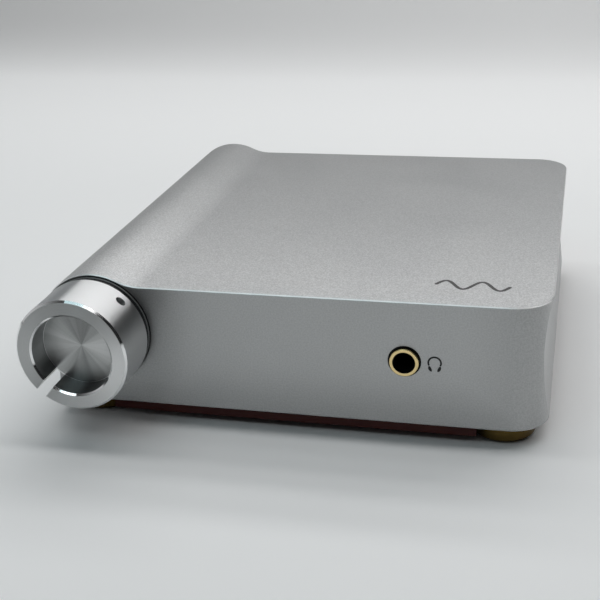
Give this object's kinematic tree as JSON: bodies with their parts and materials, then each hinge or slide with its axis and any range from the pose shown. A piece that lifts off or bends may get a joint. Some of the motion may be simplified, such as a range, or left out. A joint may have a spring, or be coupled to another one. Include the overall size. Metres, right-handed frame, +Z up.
{
  "type": "desktop dac",
  "caption": "Low aluminium desktop DAC and headphone amplifier with a turned volume knob on a raised roll, a front headphone jack, brass feet and rear sockets.",
  "frame": {"origin": "on the floor, under the middle of the whole object's box", "axes": "+Z up, front face towards -Y, knob on the left (-X), rear sockets towards +Y"},
  "size_m": [0.16, 0.1868, 0.0498],
  "materials": {
    "casing_aluminium": "fine bead-blasted, clear anodised",
    "knob_aluminium": "turned, clear anodised",
    "spun_aluminium": "circular spun",
    "cover_red": "satin red lacquer",
    "foot_brass": "turned and lacquered",
    "pad_rubber": "matt",
    "screw_black": "black oxide",
    "smoked_plastic": "smoked, semi-gloss",
    "circuit_board": "solder mask",
    "led_lens": "diffuse lens",
    "pressed_steel": "pressed, plated",
    "nickel_metal": "satin nickel plate",
    "black_plastic": "moulded",
    "gold_plate": "gold plated",
    "chip_black": "moulded epoxy",
    "capacitor_sleeve": "printed sleeve without marks",
    "film_red": "dipped",
    "relay_body": "moulded",
    "header_plastic": "moulded",
    "cable_grey": "ribbed insulation",
    "panel_black": "fine textured black",
    "insulator_white": "moulded",
    "insulator_red": "moulded"
  },
  "bodies": {
    "housing": {"top_casing": "casing_aluminium", "base_cover": "cover_red", "feet": "foot_brass", "foot_pads": "pad_rubber", "foot_screws": "screw_black", "light_ring": "smoked_plastic", "ring_board": "circuit_board", "ring_leds": "led_lens", "pot_housing": "pressed_steel", "pot_bushing": "nickel_metal", "pot_nut": "nickel_metal", "pot_track": "black_plastic", "jack_collar": "black_plastic", "jack_bush": "gold_plate", "jack_body": "black_plastic", "jack_contact_springs": "nickel_metal", "main_board": "circuit_board", "board_standoffs": "nickel_metal", "board_screws": "screw_black", "board_chips": "chip_black", "electrolytic_capacitors": "capacitor_sleeve", "film_capacitors": "film_red", "muting_relays": "relay_body", "clock_oscillators": "pressed_steel", "voltage_regulators": "chip_black", "harness_header": "header_plastic", "pot_harness": "cable_grey", "rear_panel": "panel_black", "rear_panel_screws": "screw_black", "phono_blocks": "black_plastic", "phono_shells": "gold_plate", "white_insulators": "insulator_white", "red_insulators": "insulator_red", "phono_contacts": "gold_plate", "usb_shell": "pressed_steel", "usb_tongue": "header_plastic"},
    "knob": {"volume_knob": "knob_aluminium", "knob_disc": "spun_aluminium", "knob_grub_screw": "screw_black", "pot_shaft": "nickel_metal", "pot_wiper": "black_plastic"}
  },
  "joints": [
    {"name": "knob_turn", "type": "hinge", "parent": "housing", "child": "knob", "pos_m": [-0.0614, -0.085, 0.03123], "axis": [0, 1, 0], "range_deg": [0, 280]}
  ]
}
